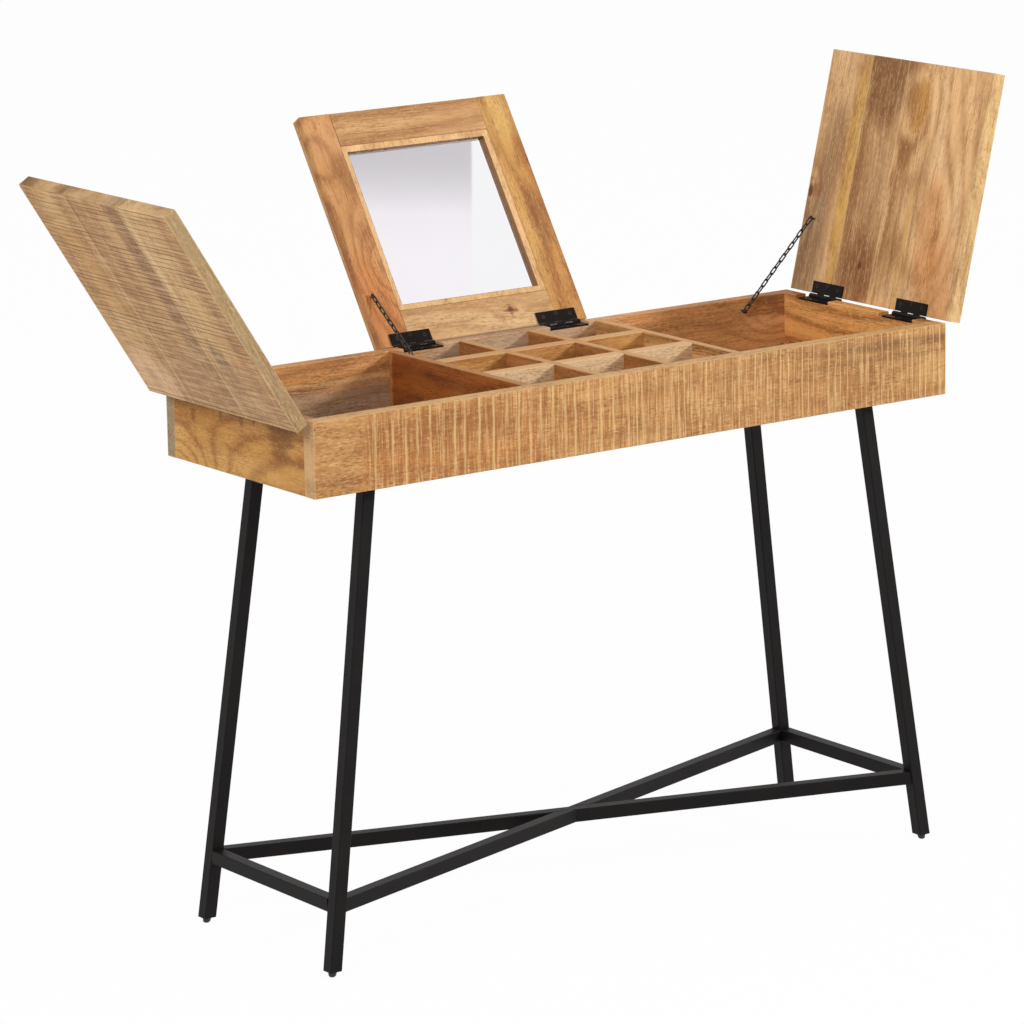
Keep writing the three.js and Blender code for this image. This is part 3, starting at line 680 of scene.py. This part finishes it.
rail_size = (lid_reach - 2 * frame_width, frame_width, frame_depth)
hinge_rail_corner = left_edge + X * frame_width + top * frame_depth
hinge_rail_tones = [
    (0.0, colour(218, 180, 132)),
    (0.5, colour(206, 164, 114)),
    (1.0, colour(184, 140, 92)),
]
hinge_rail_stains = [
    (0.183, 0.03, 0.019, 0.003, colour(112, 56, 38), 0.9),
    (0.183, 0.03, 0.0045, 0.011, colour(112, 56, 38), 0.9),
    (0.186, 0.031, 0.012, 0.007, colour(140, 76, 50), 0.8),
]
hinge_rail_knots = [(0.183, 0.03, 0.0036, 1.6, 0.85)]
hinge_rail_wood = timber(
    "hinge_rail_wood", hinge_rail_corner, X, out, rail_size, hinge_rail_tones, colour(148, 102, 62),
    colour(228, 192, 144), seed=91.0, rings=26.0, ringing=0.2, lines=0.4, stains=hinge_rail_stains,
    knots=hinge_rail_knots)
dress(hinge_rail_wood, "mirror_hinge_rail")

free_rail_corner = hinge_rail_corner + out * (lid_width - frame_width)
free_rail_tones = [
    (0.0, colour(204, 160, 109)),
    (0.5, colour(192, 144, 94)),
    (1.0, colour(165, 116, 70)),
]
free_rail_wood = timber(
    "free_rail_wood", free_rail_corner, X, out, rail_size, free_rail_tones, colour(140, 93, 53),
    colour(213, 171, 120), seed=95.0, rings=28.0, wave=4.0, ringing=0.3, lines=0.5)
dress(free_rail_wood, "mirror_free_rail")

# the bead is one pale moulding with a dark joint line at the frame, and shade is painted brown on its wall
# over the glass
bead_width = 0.0095
bead_thickness = 0.009
sight_edge = frame_width + bead_width


def joint_line_and_wall_shade(wire, wood, grain, cross):
    """Darkens the bead along its joint with the frame, and paints shade on its wall over the glass."""
    inset = cross.least(lid_reach - cross).least(grain.least(lid_width - grain))
    joint_line = 1.0 - abs(inset - frame_width).rise(0.0003, 0.001)
    painted_wall_shade = inset.rise(sight_edge - 0.0008, sight_edge - 0.0002)
    wood = wire.blend(joint_line * 0.6, wood, colour(122, 80, 48))
    return wire.blend(painted_wall_shade * 0.85, wood, colour(96, 62, 36))


bead_tones = [
    (0.0, colour(233, 190, 136)),
    (0.6, colour(220, 173, 118)),
    (1.0, colour(202, 151, 96)),
]
bead_wood = timber(
    "bead_wood", left_edge, out, X, (lid_width, lid_reach, bead_thickness), bead_tones,
    colour(154, 106, 62), colour(243, 208, 158), seed=93.0, rings=20.0, ringing=0.15, lines=0.3,
    paint=joint_line_and_wall_shade)
dress(bead_wood, "mirror_bead", bevel=0)

# the outer panel covers the back of the frame and shows when the lid is shut
outer_thickness = 0.006
outer_corner = left_edge + top * (lid_thickness - outer_thickness)
outer_tones = [
    (0.0, colour(206, 164, 116)),
    (0.5, colour(194, 148, 98)),
    (1.0, colour(164, 114, 72)),
]
outer_planks = [(0.0, (1, 1, 1, 1)), (0.36, (0.93, 0.89, 0.84, 1)), (0.7, (1, 0.97, 0.92, 1))]
outer_wood = timber(
    "lid_panel_wood", outer_corner, out, X, (lid_width, lid_reach, outer_thickness), outer_tones,
    colour(142, 96, 58), colour(220, 180, 130), seed=99.0, rings=16.0, wave=4.0, ringing=0.25,
    planks=outer_planks)
dress(outer_wood, "mirror_outer_panel")


# Mirror glass
# Silvered float glass in the frame's rebate, held by the bead. It is clean but for a faint haze that
# blurs the reflection a little.

silvered, wire = new_finish("silvered_glass")
haze = wire.speckle(9.0, 3.0)
silver = wire.blend(haze, colour(242, 241, 243), colour(247, 246, 248))
surface(wire, silver, haze * 0.012 + 0.012, haze, depth=0.00001, metal=1.0)
dress(silvered, "mirror_glass", bevel=0)


# Hinges
# Butt hinges of pressed steel, satin black. Every leaf is held by three countersunk screws with a
# cross recess. A leaf's face is turned up in the box, and out of the inner face on a lid.

def black_steel(name, base, scuff, sheen, grain=900.0, shine=0.2):
    """Coated steel: its colour clouds and flecks towards a lighter scuffed one."""
    made, wire = new_finish(name)
    fleck = wire.speckle(grain)
    cloud = wire.speckle(24.0, 3.0)
    paint = wire.blend(cloud.rise(0.3, 0.8) * 0.5 + fleck.rise(0.55, 0.8) * 0.3, base, scuff)
    rough = sheen + (fleck - 0.5) * 0.12 + (cloud - 0.5) * 0.1
    surface(wire, paint, rough, fleck, depth=0.00004, shine=shine)
    return made


hinge_black = black_steel("hinge_black", colour(27, 21, 18), colour(38, 30, 26), sheen=0.22, shine=0.06)
screw_black = black_steel("screw_black", colour(30, 26, 24), colour(64, 58, 54), sheen=0.3, shine=0.15)
leaf_names = [name for name in frame["nodes"] if name.endswith("_leaf")]
dress(hinge_black, *leaf_names, bevel=0.0003)

head_sides = 24
head_radius = 0.0031
head_sunk = 0.0004
rim_radius = 0.0026
rim_height = 0.00022
cross_arm = 0.0017
cross_half = 0.00042
cross_depth = 0.0007
cross_taper = 0.6


def screw_head(mesh, centre, along, normal, turn):
    """A flat head with a bevelled rim and a cross recess, standing on a leaf."""
    side = normal.cross(along)

    def at(x, y, z):
        return mesh.verts.new(centre + along * x + side * y + normal * z)

    def circle(radius, z):
        turns = [2 * math.pi * k / head_sides for k in range(head_sides)]
        return [at(radius * math.cos(t), radius * math.sin(t), z) for t in turns]

    base = circle(head_radius, -head_sunk)
    shoulder = circle(head_radius, 0.0)
    face = circle(rim_radius, rim_height)
    for lower, upper in ((base, shoulder), (shoulder, face)):
        for k in range(head_sides):
            after = (k + 1) % head_sides
            mesh.faces.new((lower[k], lower[after], upper[after], upper[k]))
    cross = []
    for quarter in range(4):
        spin = turn + quarter * math.pi / 2
        for x, y in ((cross_arm, -cross_half), (cross_arm, cross_half), (cross_half, cross_half)):
            cross.append((x * math.cos(spin) - y * math.sin(spin), x * math.sin(spin) + y * math.cos(spin)))
    brim = [at(x, y, rim_height) for x, y in cross]
    floor = [at(x * cross_taper, y * cross_taper, rim_height - cross_depth) for x, y in cross]
    edges = []
    for ring in (face, brim):
        for k, vertex in enumerate(ring):
            following = ring[(k + 1) % len(ring)]
            edges.append(mesh.edges.get((vertex, following)) or mesh.edges.new((vertex, following)))
    bmesh.ops.triangle_fill(mesh, use_beauty=True, edges=edges)
    for k in range(len(brim)):
        after = (k + 1) % len(brim)
        mesh.faces.new((brim[k], brim[after], floor[after], floor[k]))
    mesh.faces.new(floor)


def new_object(name, mesh, finish):
    """Turns mesh code into an object of one finish."""
    data = bpy.data.meshes.new(name)
    mesh.to_mesh(data)
    mesh.free()
    data.materials.append(finish)
    made = bpy.data.objects.new(name, data)
    bpy.context.scene.collection.objects.link(made)
    return made


def new_piece(name, mesh, finish, body):
    """Turns mesh code into a piece that rides on a body."""
    bmesh.ops.recalc_face_normals(mesh, faces=mesh.faces)
    made = new_object(name, mesh, finish)
    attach(made, body)
    return made


leaf_inner = 0.0005
leaf_to_screws = 0.0105
screw_row = lid_from_axis + leaf_inner + leaf_to_screws
screw_spacing = 0.0235
middle_further = 0.0022
outer_nearer = 0.001
hinge_ends = {"left": ("front", "rear"), "centre": ("left", "right"), "right": ("front", "rear")}
hinges = [(side, end) for side, ends in hinge_ends.items() for end in ends]
for number, (side, end) in enumerate(hinges):
    axis, out, top = hang(side)
    hinge = f"{side}_lid_hinge_{end}"
    shut = shut_way[side]
    along = X if side == "centre" else Y
    lowest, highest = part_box(hinge + "_case_leaf")
    seat = axis + along * ((lowest + highest) / 2 - axis).dot(along)
    for leaf, body, away, face in (("case", "table", shut, Z), ("lid", f"{side}_lid_body", out, -top)):
        heads = bmesh.new()
        for k, x in enumerate((-screw_spacing, 0.0, screw_spacing)):
            row = screw_row + (middle_further if k == 1 else -outer_nearer)
            centre = seat + away * row + along * x - face * leaf_inner
            # every screw was driven to its own angle
            turn = 0.4 + 1.3 * k + number
            screw_head(heads, centre, along, face, turn)
        new_piece(f"{hinge}_{leaf}_screws", heads, screw_black, body)


# Chains
# Welded steel chain, dark and a little brown, its links turned a quarter one after the other. It runs
# from a pan-head screw in the box to a screw eye in the lid and is taut when the lid is open.

chain_look = {"sheen": 0.38, "grain": 700.0, "shine": 0.35}
chain_dark = black_steel("chain_dark", colour(34, 25, 20), colour(84, 62, 46), **chain_look)
eye_black = black_steel("eye_black", colour(30, 24, 21), colour(66, 54, 46), **chain_look)
link_pitch = 0.0118
link_wire = 0.0011
link_radius = 0.00255
link_lap = 0.00155
bow_steps = 8
wire_sides = 8


def chain_link(mesh, centre, along, across, before, after):
    """One link: a round wire bent to an oval with straight sides, in the plane of along and across."""
    normal = along.cross(across)
    path = []
    for start, shift in ((-math.pi / 2, after), (math.pi / 2, -before)):
        for k in range(bow_steps + 1):
            turn = start + math.pi * k / bow_steps
            path.append((shift + link_radius * math.cos(turn), link_radius * math.sin(turn), turn))
    around = [2 * math.pi * j / wire_sides for j in range(wire_sides)]
    rings = []
    for x, y, turn in path:
        outward = along * math.cos(turn) + across * math.sin(turn)
        spot = centre + along * x + across * y
        rings.append([mesh.verts.new(spot + (outward * math.cos(t) + normal * math.sin(t)) * link_wire)
                      for t in around])
    for k, ring in enumerate(rings):
        following = rings[(k + 1) % len(rings)]
        for j in range(wire_sides):
            beside = (j + 1) % wire_sides
            mesh.faces.new((ring[j], ring[beside], following[beside], following[j]))


link_counts = {"left": (2, 8, 7), "centre": (3, 5, 4), "right": (2, 7, 6)}
joint_at = {joint["name"]: Vector(joint["pos_m"]) for joint in frame["joints"]}
for side, counts in link_counts.items():
    first, last = joint_at[f"{side}_chain_low_fold"], joint_at[f"{side}_chain_up_fold"]
    along = (last - first).normalized()
    plane = X if side == "centre" else Y
    across = plane.cross(along)
    number = 0
    for part, count in zip(("low", "mid", "up"), counts):
        links = bmesh.new()
        for k in range(number, number + count):
            # a run's end links close round the pivot, and the others lap their neighbours
            turned = k % 2 == 1
            at_pivot = link_pitch / 2 - (link_radius if turned else 0)
            at_link = link_pitch / 2 - link_lap
            before = at_pivot if k == number else at_link
            after = at_pivot if k == number + count - 1 else at_link
            centre = first + along * (link_pitch * (k + 0.5))
            chain_link(links, centre, along, plane if turned else across, before, after)
        number += count
        body = f"{side}_chain_{part}"
        links_piece = new_piece(f"{body}_links", links, chain_dark, body)
        links_piece.data.shade_smooth()
        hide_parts(f"{body}_run")
    dress(eye_black, f"{side}_chain_eye", f"{side}_chain_screw", bevel=0)


# Underframe
# Square steel tube, welded and powder coated satin black: four splayed legs under their plates, two
# side stretchers and a crossing pair of diagonals. Plastic glides close the legs.

frame_black = black_steel("frame_black", colour(15, 12, 11), colour(27, 23, 22), sheen=0.5, grain=1400.0,
                          shine=0.12)
corners = [f"{end}_{side}" for end in ("front", "rear") for side in ("left", "right")]
dress(frame_black, *(f"{place}_leg" for place in corners), "left_side_stretcher", "right_side_stretcher",
      "long_diagonal", "front_left_half_diagonal", "rear_right_half_diagonal", bevel=0)

glide_plastic, wire = new_finish("glide_plastic")
pebble = wire.speckle(1500.0, roughness=0.5)
rubbed = wire.blend(pebble.rise(0.45, 0.8) * 0.5, colour(24, 23, 23), colour(48, 46, 45))
surface(wire, rubbed, pebble * 0.2 + 0.5, pebble, depth=0.00008)
dress(glide_plastic, *(f"{place}_glide" for place in corners), bevel=0)


# Floor, light, camera
# A white room: pale floor, an even sky, one lamp from the front right and a larger, softer one from
# the left. A grey wall stands where the mirror looks. The camera is where the photograph was taken.

def looked_at(wire):
    """1 where the camera looks, also by a mirror or through glass, and 0 for the light on the object."""
    rays = wire.tree.nodes.new("ShaderNodeLightPath").outputs
    kinds = ("Is Camera Ray", "Is Glossy Ray", "Is Transmission Ray")
    direct, mirrored, through = (Wire(wire.tree, rays[kind]) for kind in kinds)
    return direct.most(mirrored).most(through)


def aimed(place, yaw, pitch, roll):
    """Stands a thing at a place and turns it to the left, then up, then round its view, in degrees."""
    yaw, pitch, roll = (math.radians(angle) for angle in (yaw, pitch, roll))
    forward = Vector((-math.sin(yaw) * math.cos(pitch), math.cos(yaw) * math.cos(pitch), math.sin(pitch)))
    right = Vector((math.cos(yaw), math.sin(yaw), 0))
    up = right.cross(forward)
    level_right = right * math.cos(roll) + up * math.sin(roll)
    level_up = up * math.cos(roll) - right * math.sin(roll)
    return Matrix.Translation(place) @ Matrix((level_right, level_up, -forward)).transposed().to_4x4()


def stage_sheet(name, finish, low, high, place):
    """A flat sheet of the room between two of its corners."""
    sheet = bmesh.new()
    rim = ((low[0], low[1]), (high[0], low[1]), (high[0], high[1]), (low[0], high[1]))
    sheet.faces.new([sheet.verts.new((x, y, 0)) for x, y in rim])
    made = new_object(name, sheet, finish)
    made.matrix_world = place
    return made


floor_seen_white = 0.97
floor_reach = 30.0
floor_finish, wire = new_finish("floor_white")
matt = wire.node("BsdfDiffuse", {}, {"Color": (0.86, 0.86, 0.86, 1)})
glow = wire.node("Emission", {}, {"Color": (1, 1, 1, 1), "Strength": 1.0})
wire.close(wire.node("MixShader", {}, {0: looked_at(wire) * floor_seen_white, 1: matt, 2: glow}))
stage_sheet("floor", floor_finish, (-floor_reach, -floor_reach), (floor_reach, floor_reach), Matrix())

sky_light = 0.5
sky_seen = 1.0
world = bpy.data.worlds.new("room")
bpy.context.scene.world = world
world.use_nodes = True
world.node_tree.nodes.clear()
wire = Wire(world.node_tree)
level = looked_at(wire) * (sky_seen - sky_light) + sky_light
wire.close(wire.node("Background", {}, {"Color": (1, 1, 1, 1), "Strength": level}), "World")


def lamp(name, place, target, size, power):
    """A round soft lamp."""
    data = bpy.data.lights.new(name, "AREA")
    data.shape = "DISK"
    data.size = size
    data.energy = power
    made = bpy.data.objects.new(name, data)
    made.location = place
    made.rotation_euler = (Vector(target) - Vector(place)).to_track_quat("-Z", "Y").to_euler()
    bpy.context.scene.collection.objects.link(made)


lamp("key", (5.5, -5.55, 3.6), target=(0, 0, 0.75), size=1.2, power=370)
lamp("fill", (-6.3, -3.3, 4.8), target=(0, 0, 0.7), size=3.4, power=326)

# the wall that the mirror sees: grey high up and pale lower down, ending at a corner of the room
wall_low, wall_high = (-0.5, -0.4), (0.062, 0.4)
wall_pale_below, wall_grey_above = -0.09, 0.16
wall_shades = [
    (0.0, colour(255, 252, 255)),
    (0.45, colour(250, 247, 250)),
    (0.75, colour(230, 227, 230)),
    (1.0, colour(212, 209, 212)),
]
wall_finish, wire = new_finish("reflected_wall")
height = wire.node("SeparateXYZ", {}, {0: wire.here()}, 1)
bow = wire.noise(height * 3.0, 1.0, 1.0, 1.0) * 0.02
grey = (height + bow).rise(wall_pale_below, wall_grey_above).ramp(wall_shades)
wire.close(wire.node("Emission", {}, {"Color": grey, "Strength": 1.0}))
wall_place = aimed((1.7419, -1.2706, 2.9183), yaw=49.25, pitch=-42.0, roll=-45.32)
wall = stage_sheet("reflected_wall", wall_finish, wall_low, wall_high, wall_place)
for kind in ("camera", "diffuse", "shadow", "transmission"):
    setattr(wall, f"visible_{kind}", False)

# the middle of the photograph lies beside the middle of its lens, so the picture is shifted
data = bpy.data.cameras.new("camera")
data.sensor_width = 36
data.lens = 175.81
data.shift_x = -0.0801
data.shift_y = -0.0005
data.clip_end = 100
camera = bpy.data.objects.new("camera", data)
camera.matrix_world = aimed((-3.9846, -5.6270, 2.0771), yaw=-36.51, pitch=-12.70, roll=-0.77)
bpy.context.scene.collection.objects.link(camera)
bpy.context.scene.camera = camera
bpy.context.scene.view_settings.view_transform = "Standard"
